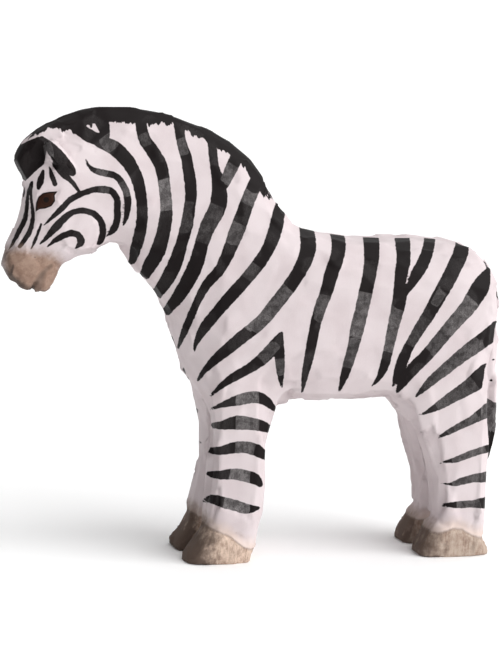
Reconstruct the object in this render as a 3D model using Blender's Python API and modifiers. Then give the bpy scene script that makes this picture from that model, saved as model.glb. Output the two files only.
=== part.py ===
import math
import random

import bmesh
import bpy
import numpy as np
from mathutils import Vector
from mathutils.kdtree import KDTree

# A standing zebra whittled from one block of wood, head towards -X, its left side towards -Y.

FIGURE_HEIGHT = 0.0953  # soles to the crest of the mane
DRAWN_HEIGHT = 95.3  # the same height in the units of the station tables below
UNIT = FIGURE_HEIGHT / DRAWN_HEIGHT

BARREL_WIDTH = 0.0272
HEAD_WIDTH = 0.0140
LEG_WIDTH = 0.0096
LEG_GAP = 0.0036  # slot between the left and the right legs
HOOF_FLARE = 0.0005  # a hoof stands this much wider than its leg, each side
CREST_WIDTH = 0.0054  # the mane's ridge
CREST_SHARE = 0.53  # how wide the neck under it is, as a share of the barrel
CREST_FOOT, CREST_CURVE = 0.3, 1.3  # where below a cut's middle the narrowing starts, and its curve
FORELOCK_WIDTH = 0.0084
EAR_LENGTH = 0.0094
EAR_WIDTH = 0.0036
EAR_PROUD = 0.0015  # the ears lie back against the head in relief
EAR_SUNK = 0.5  # their middle lies this share of that deep in the head
EAR_TAPER = 0.45  # their tip is this share narrower than a plain oval's
TAIL_WIDTH = 0.0030
TUFT_WIDTH = 0.0050
TAIL_SEAT_BITE = 0.0012  # the wood between the hind legs that the tail lies on runs this far into each leg
MOUTH_CUT = 0.0016  # height of the gap between the lips at its open end
MOUTH_LEAST = 0.1  # the gap's height at the corner, as a share of that
MOUTH_OVERRUN = 1.6  # the wedge that cuts it is this much longer than the gap
FACET_SIZE = 0.0056  # across one flat of the knife
FACET_STRETCH = 2.6  # the flats on the legs are drawn out along the grain by this much
FACET_FINER = 1.45  # those on the head are smaller by this much
FACET_DEPTH = 0.00022  # how much deeper some flats are cut than others
FACET_SPACING = 0.8  # least distance between two flats' middles, as a share of their size
FACET_LIFT = 0.5  # how far off the surface the flats are laid out, as a share of their size
FACET_SOFTNESS = 0.09  # how far the edge between two flats is rounded, as a share of their size
FACET_REACH = 0.16  # furthest that a flat moves the surface, as a share of its size
FACET_TURN = 0.55  # cosine of the furthest that a flat may be turned from the surface under it

RING_SIDES = 40
STEPS_BETWEEN = 5
SKIN_VOXELS = 200  # voxels in the figure's height
BLOCK_PASSES = 5
RELIEF_PASSES = 2
TRIANGLES = 7200
CARVING_SEED = 11
NEAR_FLATS = 4  # flats that each point of the surface looks at

# A station is one cut through the form: where its upper or front edge and its lower or back edge
# lie in the side view (x, z), its width as a share of the full one, and how square it is.
TRUNK = [
    ((52.0, 55.0), (49.6, 41.0), 0.46, 2.4),
    ((51.2, 59.4), (48.4, 36.2), 0.76, 2.6),
    ((48.6, 63.6), (45.6, 33.4), 0.91, 2.8),
    ((43.4, 66.8), (41.0, 32.8), 0.97, 3.0),
    ((34.0, 67.6), (32.0, 33.0), 1.00, 3.1),
    ((22.0, 67.9), (20.0, 33.3), 1.00, 3.1),
    ((12.0, 69.4), (7.0, 33.3), 0.99, 3.0),
    ((6.8, 71.6), (-4.0, 33.4), 0.97, 3.0),
    ((2.2, 77.4), (-12.8, 35.2), 0.90, 3.0),
    ((-1.2, 83.4), (-16.8, 43.2), 0.79, 2.9),
    ((-7.6, 88.8), (-19.4, 50.8), 0.67, 2.8),
    ((-14.4, 92.2), (-22.4, 56.6), 0.58, 2.7),
    ((-22.0, 94.6), (-26.8, 62.0), 0.53, 2.6),
    ((-29.5, 95.5), (-29.9, 67.1), 0.51, 2.6),
    ((-37.0, 95.3), (-33.0, 67.8), 0.50, 2.6),
    ((-43.6, 92.9), (-37.0, 68.6), 0.46, 2.6),
    ((-47.4, 89.4), (-40.0, 71.0), 0.38, 2.6),
]
HEAD = [
    ((-33.0, 91.0), (-27.6, 71.0), 0.70, 2.4),
    ((-40.0, 90.6), (-30.8, 67.6), 0.90, 2.6),
    ((-46.2, 88.0), (-33.0, 66.2), 0.98, 2.8),
    ((-49.5, 83.0), (-36.0, 64.8), 1.00, 2.9),
    ((-49.9, 78.6), (-38.8, 64.1), 0.97, 2.9),
    ((-50.4, 75.4), (-40.8, 64.0), 0.88, 2.9),
    ((-51.4, 71.8), (-41.8, 62.6), 0.77, 2.9),
    ((-52.7, 68.2), (-42.7, 61.0), 0.70, 2.8),
    ((-54.2, 65.0), (-43.5, 59.4), 0.70, 2.7),
    ((-54.5, 62.0), (-44.6, 57.4), 0.68, 2.6),
    ((-52.9, 59.2), (-46.0, 56.3), 0.58, 2.4),
]
FORELOCK = [
    ((-39.0, 93.8), (-38.0, 88.0), 0.60, 3.0),
    ((-44.6, 92.1), (-42.8, 85.4), 0.86, 3.4),
    ((-48.6, 89.6), (-45.8, 83.2), 0.98, 3.8),
    ((-51.2, 86.6), (-48.0, 81.4), 1.00, 3.8),
    ((-52.0, 84.2), (-49.8, 80.2), 0.96, 3.6),
]
FRONT_LEG = [
    ((-12.6, 46.0), (5.0, 46.0), 1.16, 2.8),
    ((-12.5, 37.4), (2.4, 37.4), 1.12, 3.2),
    ((-11.8, 32.0), (1.9, 32.0), 1.07, 3.6),
    ((-11.2, 26.0), (1.6, 26.0), 1.00, 3.8),
    ((-10.8, 20.0), (0.7, 20.0), 0.98, 3.8),
    ((-11.6, 14.8), (0.0, 14.8), 0.98, 3.8),
    ((-12.5, 10.4), (-0.5, 7.4), 0.98, 3.6),
    ((-12.6, 5.8), (-1.2, 2.8), 0.90, 3.4),
]
FRONT_HOOF = [
    ((-10.2, 8.4), (-3.0, 4.4), 0.72, 3.4),
    ((-12.2, 7.4), (-1.9, 3.2), 0.99, 3.8),
    ((-14.3, 4.6), (-2.2, 2.2), 1.00, 4.0),
    ((-16.4, 1.2), (-2.5, 1.0), 1.00, 4.2),
    ((-16.6, -5.0), (-2.7, -5.0), 1.00, 4.2),
]
HIND_LEG = [
    ((26.0, 48.0), (49.6, 48.0), 1.20, 2.8),
    ((27.4, 38.4), (49.3, 38.4), 1.22, 3.2),
    ((30.2, 32.6), (49.4, 33.0), 1.16, 3.4),
    ((33.6, 26.6), (49.4, 27.4), 1.08, 3.6),
    ((36.3, 21.4), (49.4, 21.8), 1.00, 3.8),
    ((37.3, 16.4), (49.2, 16.6), 0.98, 3.8),
    ((37.7, 10.4), (49.4, 8.6), 0.98, 3.6),
    ((37.6, 6.0), (48.9, 3.2), 0.90, 3.4),
]
HIND_HOOF = [
    ((39.3, 8.2), (47.6, 4.4), 0.72, 3.4),
    ((37.2, 7.2), (48.8, 3.4), 0.99, 3.8),
    ((35.8, 4.4), (49.2, 2.4), 1.00, 4.0),
    ((34.3, 1.2), (49.8, 1.0), 1.00, 4.2),
    ((34.2, -5.0), (49.6, -5.0), 1.00, 4.2),
]
TAIL = [
    ((46.0, 65.2), (45.4, 61.0), 0.60, 2.2),
    ((51.2, 61.4), (47.6, 58.6), 1.00, 2.4),
    ((53.3, 56.0), (49.6, 54.8), 1.00, 2.4),
    ((53.6, 48.0), (49.0, 48.0), 1.00, 2.4),
    ((53.7, 40.0), (48.0, 40.0), 1.00, 2.4),
    ((53.7, 36.0), (48.0, 36.0), 0.90, 2.4),
]
TUFT = [
    ((53.3, 41.0), (48.6, 41.0), 0.60, 2.2),
    ((53.8, 36.0), (48.0, 36.0), 0.86, 2.2),
    ((54.4, 30.0), (47.8, 30.4), 1.00, 2.2),
    ((54.5, 26.0), (47.8, 26.0), 0.96, 2.2),
    ((54.0, 21.6), (48.8, 21.4), 0.66, 2.2),
    ((53.3, 17.8), (51.0, 17.6), 0.34, 2.2),
]
TAIL_SEAT = [
    ((41.0, 44.0), (49.0, 44.0), 1.00, 3.0),
    ((42.0, 36.0), (49.0, 36.0), 1.00, 3.0),
    ((43.6, 28.0), (49.0, 28.0), 1.00, 3.0),
    ((45.0, 20.5), (48.8, 20.5), 0.90, 3.0),
]
CREST_FROM, CREST_FULL = 6, 12  # trunk stations where the ridge of the mane starts and is full
EAR_TOP, EAR_SLOPE = (-46.6, 88.6), math.radians(-46)
MOUTH_CORNER, MOUTH_FRONT = (-47.6, 58.9), (-50.2, 55.9)
HEAD_MIDDLE, HEAD_REACH = (-47.0, 76.0), 18.0


def smooth_rows(rows):
    # a Catmull-Rom curve through the stations, so that each column of numbers runs smoothly
    padded = np.vstack([2 * rows[0] - rows[1], rows, 2 * rows[-1] - rows[-2]])
    out = []
    for i in range(1, len(padded) - 2):
        a, b, c, d = padded[i - 1 : i + 3]
        for step in range(STEPS_BETWEEN):
            t = step / STEPS_BETWEEN
            cubic = (-a + 3 * b - 3 * c + d) * t**3
            out.append(0.5 * (2 * b + (c - a) * t + (2 * a - 5 * b + 4 * c - d) * t**2 + cubic))
    out.append(rows[-1])
    return np.array(out)


def ring(row, width, side_shift):
    # a superellipse between the two edge points, narrowed towards its upper edge by the crest share
    front_x, front_z, back_x, back_z, share, square, crest = row
    middle = Vector(((front_x + back_x) / 2, 0, (front_z + back_z) / 2)) * UNIT
    half = Vector(((front_x - back_x) / 2, 0, (front_z - back_z) / 2)) * UNIT
    points = []
    for side in range(RING_SIDES):
        turn = 2 * math.pi * side / RING_SIDES
        along = math.copysign(abs(math.cos(turn)) ** (2 / square), math.cos(turn))
        across = math.copysign(abs(math.sin(turn)) ** (2 / square), math.sin(turn))
        narrowing = 1 - crest * max(0.0, (along + CREST_FOOT) / (1 + CREST_FOOT)) ** CREST_CURVE
        offset = Vector((0, side_shift + across * narrowing * share * width / 2, 0))
        points.append(middle + half * along + offset)
    return points


def loft(bm, stations, width, side_shift=0.0, crests=None):
    rows = []
    for index, (front, back, share, square) in enumerate(stations):
        crest = crests[index] if crests else 0.0
        rows.append([*front, *back, share, square, crest])
    rings = []
    for row in smooth_rows(np.array(rows, float)):
        rings.append([bm.verts.new(point) for point in ring(row, width, side_shift)])
    for lower, upper in zip(rings, rings[1:]):
        for i in range(RING_SIDES):
            j = (i + 1) % RING_SIDES
            bm.faces.new((lower[i], lower[j], upper[j], upper[i]))
    bm.faces.new(rings[0][::-1])
    bm.faces.new(rings[-1])


def add_ear(bm, side):
    # a leaf laid back along the side of the head, its point towards the neck
    ball = bmesh.ops.create_uvsphere(bm, u_segments=24, v_segments=16, radius=1.0)["verts"]
    direction = Vector((math.cos(EAR_SLOPE), 0, math.sin(EAR_SLOPE)))
    across = Vector((-direction.z, 0, direction.x))
    depth = HEAD_WIDTH / 2 - EAR_PROUD * EAR_SUNK
    root = Vector((EAR_TOP[0] * UNIT, side * depth, EAR_TOP[1] * UNIT))
    for vert in ball:
        along, out, up = vert.co.x, vert.co.y, vert.co.z
        leaf = 1 - EAR_TAPER * max(0.0, along)
        vert.co = root + direction * (along + 1) * EAR_LENGTH / 2
        vert.co += across * up * leaf * EAR_WIDTH / 2
        vert.co.y += out * EAR_PROUD * (1 + EAR_SUNK)


def new_object(name, bm, collection):
    bm.normal_update()
    bmesh.ops.recalc_face_normals(bm, faces=bm.faces)
    mesh = bpy.data.meshes.new(name)
    bm.to_mesh(mesh)
    bm.free()
    made = bpy.data.objects.new(name, mesh)
    collection.objects.link(made)
    return made


def applied(made):
    # the object's mesh as its modifiers leave it, with the modifiers taken off
    graph = bpy.context.evaluated_depsgraph_get()
    mesh = bpy.data.meshes.new_from_object(made.evaluated_get(graph))
    made.modifiers.clear()
    made.data = mesh


def skinned(figure, passes):
    # one skin over all the closed lofts, with the steps between them eased
    skin = figure.modifiers.new("skin", "REMESH")
    skin.mode = "VOXEL"
    skin.voxel_size = FIGURE_HEIGHT / SKIN_VOXELS
    blend = figure.modifiers.new("blend", "SMOOTH")
    blend.factor = 0.5
    blend.iterations = round(passes)
    applied(figure)


def blocked_out(collection):
    # trunk, head and legs, each its own closed loft
    bm = bmesh.new()
    ridge = 1 - CREST_WIDTH / (CREST_SHARE * BARREL_WIDTH)
    crests = []
    for index in range(len(TRUNK)):
        rise = (index - CREST_FROM) / (CREST_FULL - CREST_FROM)
        crests.append(ridge * min(1.0, max(0.0, rise)))
    loft(bm, TRUNK, BARREL_WIDTH, crests=crests)
    loft(bm, HEAD, HEAD_WIDTH)
    for side in (-1, 1):
        centre = side * (LEG_GAP + LEG_WIDTH) / 2
        loft(bm, FRONT_LEG, LEG_WIDTH, centre)
        loft(bm, HIND_LEG, LEG_WIDTH, centre)
    loft(bm, TAIL_SEAT, LEG_GAP + 2 * TAIL_SEAT_BITE)
    figure = new_object("zebra", bm, collection)
    skinned(figure, BLOCK_PASSES)
    return figure


def add_details(figure):
    # the forms left standing proud: hooves, forelock, ears, tail and tuft
    bm = bmesh.new()
    bm.from_mesh(figure.data)
    loft(bm, FORELOCK, FORELOCK_WIDTH)
    loft(bm, TAIL, TAIL_WIDTH)
    loft(bm, TUFT, TUFT_WIDTH)
    for side in (-1, 1):
        add_ear(bm, side)
        centre = side * (LEG_GAP + LEG_WIDTH + HOOF_FLARE) / 2
        loft(bm, FRONT_HOOF, LEG_WIDTH + 2 * HOOF_FLARE, centre)
        loft(bm, HIND_HOOF, LEG_WIDTH + 2 * HOOF_FLARE, centre)
    bmesh.ops.recalc_face_normals(bm, faces=bm.faces)
    bm.to_mesh(figure.data)
    bm.free()
    skinned(figure, RELIEF_PASSES)


def grain_space(vert):
    # heights below the belly are pressed together, which draws the flats out along the legs,
    # the head is stretched, which makes its flats smaller, and each point is lifted off the
    # surface, so that no flat bridges the two sides of a thin ridge
    belly = TRUNK[4][1][1] * UNIT
    x, y, z = vert.co
    height = z if z > belly else belly + (z - belly) / FACET_STRETCH
    spot = Vector((x, y, height))
    middle = Vector((HEAD_MIDDLE[0], 0, HEAD_MIDDLE[1])) * UNIT
    away = spot - middle
    reach = min(away.length, HEAD_REACH * UNIT)
    spot += away.normalized() * (FACET_FINER - 1) * reach
    return spot + vert.normal * FACET_SIZE * FACET_LIFT


def flats_of(verts, spots, rng):
    # centres spread over the surface, each with the plane that best fits its own patch
    order = list(range(len(verts)))
    rng.shuffle(order)
    tree = KDTree(len(spots))
    for index, spot in enumerate(spots):
        tree.insert(spot, index)
    tree.balance()
    taken = [False] * len(spots)
    centres = []
    for index in order:
        if taken[index]:
            continue
        centres.append(index)
        for _, near, _ in tree.find_range(spots[index], FACET_SIZE * FACET_SPACING):
            taken[near] = True
    centre_tree = KDTree(len(centres))
    for number, index in enumerate(centres):
        centre_tree.insert(spots[index], number)
    centre_tree.balance()
    middles = [Vector() for _ in centres]
    normals = [Vector() for _ in centres]
    counts = [0] * len(centres)
    for index, vert in enumerate(verts):
        number = centre_tree.find(spots[index])[1]
        middles[number] += vert.co
        normals[number] += vert.normal
        counts[number] += 1
    for number, count in enumerate(counts):
        middles[number] /= count
        normals[number].normalize()
        middles[number] -= normals[number] * FACET_DEPTH * rng.random()
    return centre_tree, middles, normals


def whittle(figure):
    # each point moves along its normal to the flats around it, the nearest one most of all
    bm = bmesh.new()
    bm.from_mesh(figure.data)
    bm.verts.ensure_lookup_table()
    spots = [grain_space(vert) for vert in bm.verts]
    tree, middles, normals = flats_of(bm.verts, spots, random.Random(CARVING_SEED))
    reach = FACET_REACH * FACET_SIZE
    moves = []
    for vert, spot in zip(bm.verts, spots):
        found = tree.find_n(spot, NEAR_FLATS)
        nearest = found[0][2]
        total = 0.0
        push = 0.0
        for _, number, distance in found:
            facing = normals[number].dot(vert.normal)
            if facing < FACET_TURN:
                continue
            weight = math.exp((nearest - distance) / (FACET_SOFTNESS * FACET_SIZE))
            push += weight * normals[number].dot(middles[number] - vert.co) / facing
            total += weight
        moves.append(max(-reach, min(reach, push / total)) if total else 0.0)
    directions = [vert.normal.copy() for vert in bm.verts]
    for vert, direction, move in zip(bm.verts, directions, moves):
        vert.co += direction * move
    bm.to_mesh(figure.data)
    bm.free()


def cut_mouth(figure, cutters):
    # a wedge between the lips, straight across the muzzle
    corner = Vector((MOUTH_CORNER[0], 0, MOUTH_CORNER[1])) * UNIT
    front = Vector((MOUTH_FRONT[0], 0, MOUTH_FRONT[1])) * UNIT
    along = (front - corner).normalized()
    across = Vector((-along.z, 0, along.x))
    bm = bmesh.new()
    bmesh.ops.create_cube(bm, size=1.0)
    for vert in bm.verts:
        share = vert.co.x + 0.5
        opening = MOUTH_CUT * (MOUTH_LEAST + (1 - MOUTH_LEAST) * share * MOUTH_OVERRUN)
        place = corner + along * share * (front - corner).length * MOUTH_OVERRUN
        vert.co = place + across * vert.co.z * opening + Vector((0, vert.co.y * HEAD_WIDTH * 2, 0))
    wedge = new_object("mouth_cutter", bm, cutters)
    wedge.hide_render = True
    wedge.display_type = "WIRE"
    mouth = figure.modifiers.new("mouth", "BOOLEAN")
    mouth.operation = "DIFFERENCE"
    mouth.solver = "EXACT"
    mouth.object = wedge
    applied(figure)


def drop_pockets(bm):
    # where two lofts barely meet, the skin may close round a speck of air, which is filled here
    left = set(bm.verts)
    shells = []
    while left:
        waiting = [left.pop()]
        shell = []
        while waiting:
            vert = waiting.pop()
            shell.append(vert)
            for edge in vert.link_edges:
                other = edge.other_vert(vert)
                if other in left:
                    left.remove(other)
                    waiting.append(other)
        shells.append(shell)
    shells.sort(key=len)
    for shell in shells[:-1]:
        bmesh.ops.delete(bm, geom=shell, context="VERTS")


def open_pinches(bm):
    # where two sheets of the skin share one edge, the spot is cut out and closed again
    pinched = {vert for edge in bm.edges if len(edge.link_faces) > 2 for vert in edge.verts}
    bmesh.ops.delete(bm, geom=list(pinched), context="VERTS")
    rims = [edge for edge in bm.edges if edge.is_boundary]
    bmesh.ops.holes_fill(bm, edges=rims)


def finish_figure(figure):
    # fewer, larger faces on the flats, then a level cut that leaves the soles to stand on
    bm = bmesh.new()
    bm.from_mesh(figure.data)
    open_pinches(bm)
    drop_pockets(bm)
    faces = sum(len(face.verts) - 2 for face in bm.faces)
    bm.to_mesh(figure.data)
    bm.free()
    thin = figure.modifiers.new("flats", "DECIMATE")
    thin.ratio = TRIANGLES / faces
    thin.use_collapse_triangulate = True
    applied(figure)
    bm = bmesh.new()
    bm.from_mesh(figure.data)
    open_pinches(bm)
    everything = bm.verts[:] + bm.edges[:] + bm.faces[:]
    down = Vector((0, 0, 1))
    bmesh.ops.bisect_plane(bm, geom=everything, plane_co=(0, 0, 0), plane_no=down, clear_inner=True)
    rims = [edge for edge in bm.edges if edge.is_boundary]
    bmesh.ops.holes_fill(bm, edges=rims)
    bmesh.ops.triangulate(bm, faces=[face for face in bm.faces if len(face.verts) > 3])
    bmesh.ops.recalc_face_normals(bm, faces=bm.faces)
    # the origin is under the middle of the box
    xs = [vert.co.x for vert in bm.verts]
    ys = [vert.co.y for vert in bm.verts]
    middle = Vector(((min(xs) + max(xs)) / 2, (min(ys) + max(ys)) / 2, 0))
    for vert in bm.verts:
        vert.co -= middle
    bm.to_mesh(figure.data)
    bm.free()


def paint(figure):
    painted = bpy.data.materials.new("painted_wood")
    painted.use_nodes = True
    shader = painted.node_tree.nodes["Principled BSDF"]
    shader.inputs["Base Color"].default_value = (0.80, 0.72, 0.73, 1.0)
    shader.inputs["Roughness"].default_value = 0.55
    shader.inputs["Metallic"].default_value = 0.0
    figure.data.materials.clear()
    figure.data.materials.append(painted)


def main():
    for old in list(bpy.data.objects):
        bpy.data.objects.remove(old, do_unlink=True)
    collection = bpy.data.collections.new("zebra_figurine")
    cutters = bpy.data.collections.new("cutters")
    bpy.context.scene.collection.children.link(collection)
    bpy.context.scene.collection.children.link(cutters)
    figure = blocked_out(collection)
    whittle(figure)
    cut_mouth(figure, cutters)
    add_details(figure)
    finish_figure(figure)
    paint(figure)


main()
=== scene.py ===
import math

import bmesh
import bpy
import numpy as np
from mathutils import Matrix, Vector


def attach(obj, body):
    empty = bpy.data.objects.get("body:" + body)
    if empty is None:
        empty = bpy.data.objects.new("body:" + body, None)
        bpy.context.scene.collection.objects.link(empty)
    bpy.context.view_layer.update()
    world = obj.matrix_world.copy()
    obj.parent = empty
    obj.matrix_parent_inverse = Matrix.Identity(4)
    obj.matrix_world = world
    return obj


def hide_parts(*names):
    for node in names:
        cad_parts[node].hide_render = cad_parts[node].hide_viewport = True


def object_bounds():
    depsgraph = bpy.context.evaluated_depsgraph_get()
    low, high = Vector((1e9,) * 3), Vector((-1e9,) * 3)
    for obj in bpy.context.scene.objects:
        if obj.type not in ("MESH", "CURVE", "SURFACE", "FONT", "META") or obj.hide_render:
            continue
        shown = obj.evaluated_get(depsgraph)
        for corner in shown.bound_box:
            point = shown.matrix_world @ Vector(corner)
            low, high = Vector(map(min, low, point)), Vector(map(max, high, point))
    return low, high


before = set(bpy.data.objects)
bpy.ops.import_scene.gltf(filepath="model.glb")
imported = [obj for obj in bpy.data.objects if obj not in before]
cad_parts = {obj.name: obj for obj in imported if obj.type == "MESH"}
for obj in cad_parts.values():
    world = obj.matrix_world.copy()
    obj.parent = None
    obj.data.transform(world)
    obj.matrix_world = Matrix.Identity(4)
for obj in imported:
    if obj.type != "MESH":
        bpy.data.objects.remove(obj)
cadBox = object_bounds()

mm = 0.001

# The photograph's view: the camera stands to the left of the figure and looks slightly down.
view = {
    "azimuth": -13.0,  # degrees round from looking along +Y
    "elevation": 8.0,
    "roll": 1.0,
    "distance": 600.0,  # mm from the aim
    "pixelsPerMm": 4.70,
    "aim": (-1.3, 0.0, 47.1),  # mm, at the middle of the picture
    "width": 500,
    "height": 669,
    "sensor": 36.0,  # mm, along the picture's longer side
}

carving = {
    "voxel": 0.55,  # mm, size of one step of the fine mesh
    "mergeWithin": 0.0001,  # mm
    "easing": 3,  # smoothing passes
    "easeShare": 0.5,
    "headFrom": -35.0,  # mm, everything ahead of this is meshed twice as fine
    "headRounding": 0.6,
    "flat": 5.4,  # mm across one flat of the knife
    "headFlat": 3.9,
    "scatter": 0.85,  # how unevenly the flats are spread
    "grain": 4.0,  # flats on the legs run this much longer along the grain
    "bellyHeight": 33.4,
    "lift": 0.5,
    "depth": 0.20,  # mm, how much deeper some flats are cut
    "crease": 0.06,  # softness of the edge between two flats, as a share of a flat
    "reach": 0.6,  # mm, furthest that a flat moves the wood
    "placeBlur": 6,
    "facingBlur": 14,
    "leastFacing": 0.5,
    "sameSide": 0.45,  # a flat that faces further away than this cosine is left out
    "leastWeight": 0.0001,
    "seed": 7.0,
}

# Where the flats are cut shallower: limits in mm, and the share of the depth that is taken off.
gentle = {
    "headFade": (3.0, 4.0),  # start behind headFrom, and length
    "crestHalf": 3.2,
    "crestAbove": 70.0,
    "crestAhead": 2.0,
    "crestLess": 0.55,
    "earsAhead": -39.0,
    "earsAbove": 79.5,
    "earsBeside": 6.3,
    "forelockAhead": -45.0,
    "earsLess": 0.6,
    "muzzleAhead": -41.0,
    "muzzleBelow": 66.0,
    "muzzleLess": 0.35,
    "hoovesBelow": 9.0,
    "hoovesFade": 2.0,
    "hoovesLess": 0.6,
}


class Wire:
    # a socket that takes Python's own operators
    def __init__(self, tree, socket):
        self.tree, self.socket = tree, socket

    def join(self, operation, other, flip=False):
        pair = (other, self) if flip else (self, other)
        if self.socket.type == "VECTOR":
            return self.tree.add("ShaderNodeVectorMath", {"operation": operation}, {0: pair[0], 1: pair[1]})
        return self.tree.add("ShaderNodeMath", {"operation": operation}, {0: pair[0], 1: pair[1]})

    def __add__(self, other):
        return self.join("ADD", other)

    def __sub__(self, other):
        return self.join("SUBTRACT", other)

    def __rsub__(self, other):
        return self.join("SUBTRACT", other, True)

    def __mul__(self, other):
        return self.join("MULTIPLY", other)

    def __truediv__(self, other):
        return self.join("DIVIDE", other)

    def __rtruediv__(self, other):
        return self.join("DIVIDE", other, True)

    __radd__, __rmul__ = __add__, __mul__


class Tree:
    # makes nodes in one node tree
    def __init__(self, nodeTree):
        self.nodeTree = nodeTree

    def add(self, kind, settings=None, values=None, out=0):
        made = self.nodeTree.nodes.new(kind)
        for name, value in (settings or {}).items():
            setattr(made, name, value)
        for name, value in (values or {}).items():
            if isinstance(value, Wire):
                self.nodeTree.links.new(value.socket, made.inputs[name])
            else:
                made.inputs[name].default_value = value
        return Wire(self, made.outputs[out]) if out is not None and made.outputs else made

    def math(self, operation, *values):
        return self.add("ShaderNodeMath", {"operation": operation}, dict(enumerate(values)))

    def scaled(self, vector, factor):
        return self.add("ShaderNodeVectorMath", {"operation": "SCALE"}, {0: vector, "Scale": factor})

    def dot(self, one, other):
        return self.add("ShaderNodeVectorMath", {"operation": "DOT_PRODUCT"}, {0: one, 1: other}, out="Value")

    def ramp(self, value, low, high):
        sockets = {"Value": value, "From Min": low, "From Max": high}
        return self.add("ShaderNodeMapRange", {"interpolation_type": "SMOOTHSTEP"}, sockets)

    def blend(self, factor, one, other):
        return self.add("ShaderNodeMix", {"data_type": "RGBA"}, {0: factor, 6: one, 7: other}, out=2)

    def attribute(self, name):
        return self.add("ShaderNodeAttribute", {"attribute_name": name}, out="Fac")

    def noise(self, place, scale, detail=2.0, roughness=0.5):
        values = {"Vector": place, "Scale": scale, "Detail": detail, "Roughness": roughness}
        return self.add("ShaderNodeTexNoise", {}, values, out=0)


def cameraAxes():
    azimuth, elevation, roll = (math.radians(view[name]) for name in ("azimuth", "elevation", "roll"))
    level = math.cos(elevation)
    back = np.array([math.sin(azimuth) * level, -math.cos(azimuth) * level, math.sin(elevation)])
    right = np.cross(-back, [0.0, 0.0, 1.0])
    right /= np.linalg.norm(right)
    up = np.cross(right, -back)
    return math.cos(roll) * right + math.sin(roll) * up, math.cos(roll) * up - math.sin(roll) * right, back


def toPicture(points):
    # mm in the figure's frame to picture pixels, x to the right and y down
    right, up, back = cameraAxes()
    away = points - (np.array(view["aim"]) + back * view["distance"])
    scale = view["pixelsPerMm"] * view["distance"] / (away @ -back)
    return np.stack([view["width"] / 2 + away @ right * scale, view["height"] / 2 - away @ up * scale], -1)


def coordinates(mesh):
    out = np.empty(len(mesh.vertices) * 3)
    mesh.vertices.foreach_get("co", out)
    return out.reshape(-1, 3)


def normalsOf(mesh):
    out = np.empty(len(mesh.vertices) * 3)
    mesh.vertex_normals.foreach_get("vector", out)
    return out.reshape(-1, 3)


def evaluated(made):
    graph = bpy.context.evaluated_depsgraph_get()
    mesh = bpy.data.meshes.new_from_object(made.evaluated_get(graph))
    made.modifiers.clear()
    made.data = mesh


def fineWood():
    # the solid's own form, meshed evenly and finer on the head
    made = bpy.data.objects.new("carvedZebra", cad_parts["zebra"].data.copy())
    bpy.context.scene.collection.objects.link(made)
    bm = bmesh.new()
    bm.from_mesh(made.data)
    bmesh.ops.remove_doubles(bm, verts=bm.verts, dist=carving["mergeWithin"] * mm)
    bm.to_mesh(made.data)
    bm.free()
    made.data.materials.clear()
    skin = made.modifiers.new("skin", "REMESH")
    skin.mode = "VOXEL"
    skin.voxel_size = carving["voxel"] * mm
    ease = made.modifiers.new("ease", "SMOOTH")
    ease.factor = carving["easeShare"]
    ease.iterations = carving["easing"]
    evaluated(made)
    bm = bmesh.new()
    bm.from_mesh(made.data)
    front = [edge for edge in bm.edges if min(v.co.x for v in edge.verts) < carving["headFrom"] * mm]
    rounding = carving["headRounding"]
    bmesh.ops.subdivide_edges(bm, edges=front, cuts=1, use_grid_fill=True, smooth=rounding)
    bmesh.ops.triangulate(bm, faces=[face for face in bm.faces if len(face.verts) > 4])
    bm.to_mesh(made.data)
    bm.free()
    return made


def grainSpace(tree, place, belly, grain, unfold=False):
    # heights below the belly are pressed together, or drawn out again
    axes = tree.add("ShaderNodeSeparateXYZ", {}, {0: place}, out=None)
    height = Wire(tree, axes.outputs[2])
    low = tree.math("MINIMUM", height, belly) - belly
    height = tree.math("MAXIMUM", height, belly) + (low * grain if unfold else low / grain)
    values = {0: Wire(tree, axes.outputs[0]), 1: Wire(tree, axes.outputs[1]), 2: height}
    return tree.add("ShaderNodeCombineXYZ", {}, values)


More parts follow.
